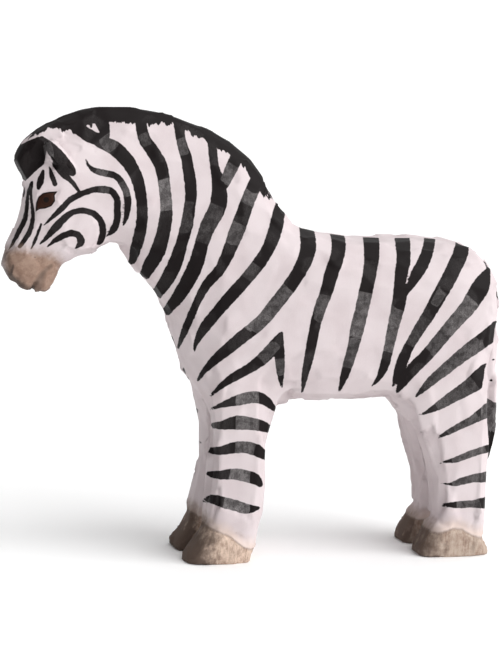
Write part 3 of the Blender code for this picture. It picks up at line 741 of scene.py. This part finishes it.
def paintMasks(made):
    # how far inside each kind of paint every point lies, in mm
    mesh = made.data
    co = coordinates(mesh) / mm
    x, y, z = co.T
    spots = unsteadySpots(co)
    seen = toPicture(co)
    scale = view["pixelsPerMm"]
    nowhere = np.full(len(co), -1e3)
    evenX, evenY, evenZ = (stored(mesh, name) for name in ("evenX", "evenY", "evenZ"))
    outward = evenY * np.sign(y)
    ink = nowhere
    for points in stripes.values():
        ink = np.maximum(ink, strokeDepth(spots, points))
    ink = np.maximum(ink, outlineDepth(spots, forelock))
    ink = np.maximum(ink, outlineDepth(spots, maneRoot))
    bare = nowhere
    for corners in bareGaps:
        bare = np.maximum(bare, outlineDepth(spots, corners))
    ink = np.minimum(ink, -bare) / scale
    # how far inside each patch of scuffed paint and painted sheen a point lies, and that patch's strength
    rubbedAndSheen, strength = nowhere, np.zeros(len(co))
    for share, points in rubbedAndSheenPatches:
        depth = strokeDepth(spots, points, square=True)
        strength = np.where(depth > np.maximum(rubbedAndSheen, -3), share, strength)
        rubbedAndSheen = np.maximum(rubbedAndSheen, depth)

    # the belly is left white, and beyond the ridge of the back the stripes start a little lower
    belly, ridge = limits["belly"], limits["backRidge"]
    under = np.clip((-evenZ - belly["facing"]) / limits["fade"], 0, 1)
    under *= (z > belly["above"]) & (z < belly["below"]) & (x > belly["behind"])
    over = np.clip((evenZ - ridge["facing"]) / limits["fade"], 0, 1)
    over *= (z > ridge["above"]) & (x > ridge["behind"]) & (y > ridge["beyond"])
    # the legs' inner sides and the far legs' fronts are left white too
    far = (y > 0) & (outward < limits["farFacing"]) & (evenX < limits["farForward"])
    inner = (z < limits["legsBelow"]) & ((outward < limits["innerFacing"]) | far)
    ink = np.where(inner, -3.0, ink - limits["off"] * (under + over))
    onFront = (y > limits["marksBeyond"]) & (evenX < limits["marksForward"])
    for points in farMarks:
        ink = np.maximum(ink, np.where(onFront, strokeDepth(seen, points) / scale, -3))

    # the tail is white but for a few marks, and its tuft is black
    onTail = (np.abs(y) < tail["halfWidth"]) & (x > tail["from"]) & (z < tail["below"])
    marks = nowhere
    for points in tailMarks:
        marks = np.maximum(marks, strokeDepth(spots, points) / scale)
    ink = np.where(onTail, marks, ink)
    waves = slowWaves(co, tail["tuftWaves"], tail["tuftSeed"])
    top = tail["tuftTop"] - tail["tuftSlope"] * (x - tail["tuftMiddle"]) + tail["tuftRagged"] * waves
    tuft = np.minimum(x - tail["tuftFrom"], top - z)
    ink = np.maximum(ink, np.minimum(tuft, tail["tuftHalf"] - np.abs(y)))

    edge = np.array(maneEdge, float)
    mane = np.interp(spots[:, 0], edge[:, 0], edge[:, 1]) - spots[:, 1]
    mane = np.minimum(mane, (limits["maneBack"] - spots[:, 0]) * limits["maneSlope"])
    mane = np.minimum(mane, -bare) / scale
    # the toe is darker, with brown staining and painted shade
    frontToe = hoofs["frontDark"] * (1 - (x - hoofs["frontToe"]) / hoofs["toeLength"])
    hindToe = hoofs["hindDark"] * (1 - (x - hoofs["hindToe"]) / hoofs["toeLength"])
    toe = np.where(x < hoofs["hindFrom"], frontToe, hindToe)
    masks = {
        "ink": np.clip(ink, -3, 3),
        "rubbedAndSheen": np.clip(rubbedAndSheen / scale, -2, 2),
        "strength": strength,
        "mane": np.clip(mane, -3, 3),
        "hoof": np.clip(hoofEdge(x) - z, -8, 8),
        "toe": np.clip(toe, 0, 1),
        # how far the surface faces forward and down; these place painted shade on the muzzle and the hooves'
        # fronts
        "toward": np.clip(-evenX, 0, 1),
        "below": np.clip(-evenZ, 0, 1),
        "iris": np.clip(np.linalg.norm(spots - np.array(face["eyeMiddle"]), axis=1) / scale, 0, 5),
        "whiskers": strokeDepth(spots, face["whiskers"]) / scale,
    }
    onHead = {
        "muzzle": (outlineDepth(spots, face["muzzleEdge"]), -4, 8),
        # painted shade along the mouth's groove and under the lower lip
        "mouth": (strokeDepth(spots, face["mouthLine"]), -3, 1),
        "nostril": (strokeDepth(spots, face["nostril"]), -3, 1),
        "eye": (outlineDepth(spots, face["eye"]), -2, 2),
        "lipShade": (strokeDepth(spots, face["lipShade"]), -3, 1),
    }
    for name, (inside, least, most) in onHead.items():
        masks[name] = np.where(x < limits["headFrom"], np.clip(inside / scale, least, most), least)
    for name, values in masks.items():
        mesh.attributes.new(name, "FLOAT", "POINT").data.foreach_set("value", values)


# Linear colours.
paint = {
    "white": (0.655, 0.58, 0.59, 1),
    "whiteThin": (0.595, 0.515, 0.525, 1),
    "black": (0.0085, 0.0058, 0.0060, 1),
    # grey of the scuffed black paint, also standing for the painted sheen on it
    "blackWornAndSheen": (0.20, 0.185, 0.185, 1),
    "tan": (0.68, 0.53, 0.43, 1),
    "tanHind": (0.50, 0.405, 0.335, 1),
    "brown": (0.12, 0.085, 0.068, 1),
    "muzzle": (0.25, 0.158, 0.118, 1),
    "muzzlePale": (0.36, 0.248, 0.192, 1),
    "muzzleDark": (0.10, 0.072, 0.060, 1),
    "iris": (0.030, 0.0095, 0.0042, 1),
    "irisRing": (0.014, 0.005, 0.003, 1),
    "pupil": (0.008, 0.004, 0.003, 1),
    "lid": (0.008, 0.004, 0.003, 1),
}

# Noise scales, in waves to the mm.
grains = {
    "speckle": 5.5,
    "streaks": 2.6,
    "cloud": 0.16,
    "ragged": 1.1,
    "ticks": 1.3,
    "patchy": 0.7,
    "mottle": 0.55,
    "dots": 1.2,
    "streakStretch": (1.0, 1.0, 0.22),
    "tickStretch": (1.0, 0.6, 0.25),
}

# Where each layer fades in: mm inside its edge, or a share of its noise.
fades = {
    "ink": (-0.07, 0.07),
    "mane": (-0.08, 0.08),
    "fleck": (0.42, 0.92),
    "rubbedAndSheen": (-0.12, 0.1),
    "patchy": (0.36, 0.62),
    "faintSheen": (1.5, 1.9),
    "thin": (0.35, 0.75),
    "hoof": (-0.25, 0.35),
    "hoofStainAndShade": (0.10, 0.75),
    "hindLegs": (10, 25),
    "horn": (0.35, 0.75),
    "cream": (-3.4, 0.0),
    "legStainAndShade": (-3.8, 0.3),
    "legStainAndShadeFrom": (0.25, 0.8),
    "rim": (0.45, 0.0),
    "muzzle": (-1.5, 2.0),
    "nosePale": (0.30, 0.72),
    "noseEdge": (0.42, 1.0),
    "mouth": (-0.7, 0.2),
    "nostril": (-0.35, 0.1),
    "lips": (-0.9, 0.5),
    "dot": (0.30, 0.14),
    "whiskers": (-0.1, 0.1),
    "irisRing": (0.16, 0.06),
    "lid": (0.16, 0.32),
    "pupil": (0.72, 0.52),
    "eye": (-0.12, 0.02),
}

# How far the noises push each layer's edge about.
stray = {
    "ink": 0.35,
    "mane": 2.6,
    "fleck": 0.35,
    "rubbedAndSheen": 0.9,
    "thin": 0.5,
    "hoofStainAndShade": 0.7,
    "hoofStainAndShadeFlat": 0.3,
    "horn": 0.3,
    "cream": 1.6,
    "legStainAndShade": 2.5,
    "hoof": 0.7,
    "rim": 0.4,
    "muzzle": 1.0,
    "nosePale": 0.4,
    "noseEdge": 0.7,
}

# Least scuffing and painted sheen inside a patch, by fleck, by flat (with its range) and by patch, and how
# much the slight painted sheen elsewhere depends on the flat's facing and on the flat itself.
wearAndSheen = {
    "fleck": 0.25,
    "flat": 0.7,
    "flatRange": 0.6,
    "patch": 0.45,
    "sheenSide": 1.2,
    "sheenFlat": 0.9,
}

# How strongly each layer covers the one below it.
cover = {
    "faintSheenCover": 0.14,
    "cream": 0.55,
    "legStainAndShade": 0.8,
    "hoofFront": 0.8,
    "rim": 0.45,
    "noseFront": 0.85,
    "noseBelow": 0.75,
    "mouth": 0.6,
    "lines": 0.9,
    "lips": 0.6,
    "dots": 0.75,
    "irisRing": 0.5,
}

surface = {
    "roughness": 0.66,
    "inkSmoother": 0.10,
    "roughSpeckle": 0.25,
    "streakHeight": 0.35,
    "speckleHeight": 0.25,
    "inkHeight": 0.25,
    "bump": 0.35,
    "bumpHeight": 0.15,  # mm
    "specular": 0.12,
    "irisEdge": 0.98,  # mm from the eye's middle
}


def paintedWood():
    material = bpy.data.materials.new("paintedWood")
    material.use_nodes = True
    tree = Tree(material.node_tree)
    shader = material.node_tree.nodes["Principled BSDF"]
    place = tree.add("ShaderNodeTexCoord", {}, {}, out="Object")
    place = tree.scaled(place, 1 / mm)

    def fade(value, name):
        return tree.ramp(value, *fades[name])

    def stretched(name):
        return tree.add("ShaderNodeMapping", {}, {"Vector": place, "Scale": grains[name]})

    speckle = tree.noise(place, grains["speckle"], 3.0, 0.7)
    streaks = tree.noise(stretched("streakStretch"), grains["streaks"], 3.0, 0.6)
    cloud = tree.noise(place, grains["cloud"], 2.0)
    ragged = tree.noise(place, grains["ragged"], 2.0) - 0.5
    ticks = tree.noise(stretched("tickStretch"), grains["ticks"], 1.0) - 0.5
    mottle = tree.noise(place, grains["mottle"], 3.0, 0.6)
    side, tone = tree.attribute("flatSide"), tree.attribute("flatTone")

    # white paint, and black that is scuffed and carries a painted sheen in patches, with a slight painted
    # sheen on every flat that faces sideways
    ink = fade(tree.attribute("ink") + ragged * stray["ink"], "ink")
    mane = fade(tree.attribute("mane") + ticks * stray["mane"], "mane")
    ink = tree.math("MAXIMUM", ink, mane)
    fleck = fade(speckle + streaks * stray["fleck"], "fleck")
    wornAndSheen = fade(tree.attribute("rubbedAndSheen") + (tone - 0.5) * stray["rubbedAndSheen"], "rubbedAndSheen")
    wornAndSheen = wornAndSheen * (wearAndSheen["fleck"] + fleck * (1 - wearAndSheen["fleck"]))
    patchy = fade(tree.noise(place, grains["patchy"], 3.0, 0.6), "patchy")
    wornAndSheen = wornAndSheen * tree.attribute("strength") * (wearAndSheen["flat"] + tone * wearAndSheen["flatRange"])
    wornAndSheen = wornAndSheen * (wearAndSheen["patch"] + patchy * (1 - wearAndSheen["patch"]))
    faintSheen = fade(side * wearAndSheen["sheenSide"] + tone * wearAndSheen["sheenFlat"], "faintSheen") * fleck * cover["faintSheenCover"]
    wornAndSheen = tree.math("MAXIMUM", wornAndSheen, faintSheen)
    thin = fade(cloud + (speckle - 0.5) * stray["thin"], "thin")
    pale = tree.blend(thin, paint["white"], paint["whiteThin"])
    black = tree.blend(wornAndSheen, paint["black"], paint["blackWornAndSheen"])
    colour = tree.blend(ink, pale, black)

    # hooves, darker at the toe and where they face forward with brown staining and painted shade, a darker
    # brown line along their upper edge, and the staining and painted shade that run up the legs' fronts
    inHoof = tree.attribute("hoof")
    toward = tree.attribute("toward")
    # darker where the hoof faces forward (painted shade) and at the toe (brown staining and painted shade)
    dark = tree.math("MAXIMUM", toward * cover["hoofFront"], tree.attribute("toe"))
    hoofStainAndShade = dark + (mottle - 0.5) * stray["hoofStainAndShade"] + (tone - 0.5) * stray["hoofStainAndShadeFlat"]
    axes = tree.add("ShaderNodeSeparateXYZ", {}, {0: place}, out=None)
    bare = tree.blend(fade(Wire(tree, axes.outputs[0]), "hindLegs"), paint["tan"], paint["tanHind"])
    horn = fade(mottle * 0.5 + streaks * 0.5 + (speckle - 0.5) * stray["horn"], "horn")
    horn = tree.blend(horn, bare, paint["muzzle"])
    horn = tree.blend(fade(hoofStainAndShade, "hoofStainAndShade"), horn, paint["brown"])
    cream = fade(inHoof + ragged * stray["cream"], "cream") * cover["cream"]
    colour = tree.blend(cream, colour, paint["tan"])
    legStainAndShade = fade(inHoof + ragged * stray["legStainAndShade"], "legStainAndShade") * fade(dark, "legStainAndShadeFrom")
    colour = tree.blend(legStainAndShade * cover["legStainAndShade"], colour, paint["brown"])
    colour = tree.blend(fade(inHoof + ragged * stray["hoof"], "hoof"), colour, horn)
    rim = fade(tree.math("ABSOLUTE", inHoof + ragged * stray["rim"]), "rim")
    colour = tree.blend(rim * cover["rim"], colour, paint["brown"])

    # muzzle, with painted shade at its front and below, painted shade along the mouth's groove and under the
    # lower lip, a darker nostril line and whisker dots
    muzzle = fade(tree.attribute("muzzle") + (ragged + mottle - 0.5) * stray["muzzle"], "muzzle")
    patches = fade(mottle + (speckle - 0.5) * stray["nosePale"], "nosePale")
    nose = tree.blend(patches, paint["muzzlePale"], paint["muzzle"])
    # painted shade where the muzzle faces forward and down
    edge = toward * cover["noseFront"] + tree.attribute("below") * cover["noseBelow"]
    edge = edge + (mottle - 0.5) * stray["noseEdge"]
    nose = tree.blend(fade(edge, "noseEdge"), nose, paint["muzzleDark"])
    # painted shade along the mouth's groove, and a darker line along the nostril
    mouth = fade(tree.attribute("mouth"), "mouth") * cover["mouth"]
    lines = tree.math("MAXIMUM", mouth, fade(tree.attribute("nostril"), "nostril"))
    nose = tree.blend(lines * cover["lines"], nose, paint["muzzleDark"])
    # painted shade under the lower lip
    lips = fade(tree.attribute("lipShade"), "lips") * cover["lips"]
    nose = tree.blend(lips, nose, paint["muzzleDark"])
    dots = tree.add("ShaderNodeTexVoronoi", {}, {"Vector": place, "Scale": grains["dots"]}, out="Distance")
    dots = fade(dots, "dot") * fade(tree.attribute("whiskers"), "whiskers")
    nose = tree.blend(dots * cover["dots"], nose, paint["muzzleDark"])
    colour = tree.blend(muzzle, colour, nose)

    # eye: lid, iris with its darker ring, and pupil
    eye, reach = tree.attribute("eye"), tree.attribute("iris")
    ring = fade(tree.math("ABSOLUTE", reach - surface["irisEdge"]), "irisRing") * cover["irisRing"]
    iris = tree.blend(ring, paint["iris"], paint["irisRing"])
    inEye = tree.blend(fade(eye, "lid"), paint["lid"], iris)
    inEye = tree.blend(fade(reach, "pupil"), inEye, paint["pupil"])
    colour = tree.blend(fade(eye, "eye"), colour, inEye)

    rough = surface["roughness"] - ink * surface["inkSmoother"] + (speckle - 0.5) * surface["roughSpeckle"]
    height = streaks * surface["streakHeight"] + speckle * surface["speckleHeight"]
    height = height + ink * surface["inkHeight"]
    sockets = {"Height": height, "Strength": surface["bump"], "Distance": surface["bumpHeight"] * mm}
    bump = tree.add("ShaderNodeBump", {}, sockets)
    for wire, name in ((colour, "Base Color"), (rough, "Roughness"), (bump, "Normal")):
        material.node_tree.links.new(wire.socket, shader.inputs[name])
    shader.inputs["Specular IOR Level"].default_value = surface["specular"]
    return material


print("meshing")
zebra = fineWood()
print("whittling")
material = paintedWood()
whittle(zebra, material)
carveDetails(zebra)
print("painting", sum(len(p.vertices) - 2 for p in zebra.data.polygons), "triangles")
paintMasks(zebra)
zebra.data.shade_smooth()

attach(zebra, "root")
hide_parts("zebra")

studio = {
    "key": {"from": (0.62, -0.57, 0.54), "softness": 62.0, "power": 2.95},  # softness in degrees
    "back": {"from": (0.25, 0.35, 0.90), "softness": 100.0, "power": 1.62},
    "air": 0.18,
    "floorHalf": 30.0,  # m
    "floorRoughness": 0.95,
}


def lightStudio():
    half = studio["floorHalf"]
    corners = [(-half, -half, 0), (half, -half, 0), (half, half, 0), (-half, half, 0)]
    floorMesh = bpy.data.meshes.new("studioFloor")
    floorMesh.from_pydata(corners, [], [(0, 1, 2, 3)])
    floor = bpy.data.objects.new("studioFloor", floorMesh)
    bpy.context.scene.collection.objects.link(floor)
    pale = bpy.data.materials.new("paleFloor")
    pale.use_nodes = True
    sockets = pale.node_tree.nodes["Principled BSDF"].inputs
    sockets["Base Color"].default_value = (1.0, 1.0, 1.0, 1)
    sockets["Roughness"].default_value = studio["floorRoughness"]
    floorMesh.materials.append(pale)
    air = bpy.data.worlds.new("studioAir")
    air.use_nodes = True
    sockets = air.node_tree.nodes["Background"].inputs
    sockets["Color"].default_value = (1, 1, 1, 1)
    sockets["Strength"].default_value = studio["air"]
    bpy.context.scene.world = air
    for name in ("key", "back"):
        lamp = bpy.data.lights.new(name + "Light", "SUN")
        lamp.angle = math.radians(studio[name]["softness"])
        lamp.energy = studio[name]["power"]
        holder = bpy.data.objects.new(name + "Light", lamp)
        holder.rotation_euler = Vector(studio[name]["from"]).to_track_quat("Z", "Y").to_euler()
        bpy.context.scene.collection.objects.link(holder)
    bpy.context.scene.view_settings.view_transform = "Standard"


def photoCamera():
    right, up, back = cameraAxes()
    lens = bpy.data.cameras.new("photoCamera")
    lens.sensor_fit = "AUTO"
    lens.sensor_width = view["sensor"]
    lens.lens = view["pixelsPerMm"] * view["distance"] * lens.sensor_width / view["height"]
    lens.clip_start, lens.clip_end = 0.01, 100
    camera = bpy.data.objects.new("photoCamera", lens)
    bpy.context.scene.collection.objects.link(camera)
    turn = Matrix([[right[i], up[i], back[i]] for i in range(3)])
    place = Vector((np.array(view["aim"]) + back * view["distance"]) * mm)
    camera.matrix_world = Matrix.Translation(place) @ turn.to_4x4()
    bpy.context.scene.camera = camera


print("studio")
lightStudio()
photoCamera()
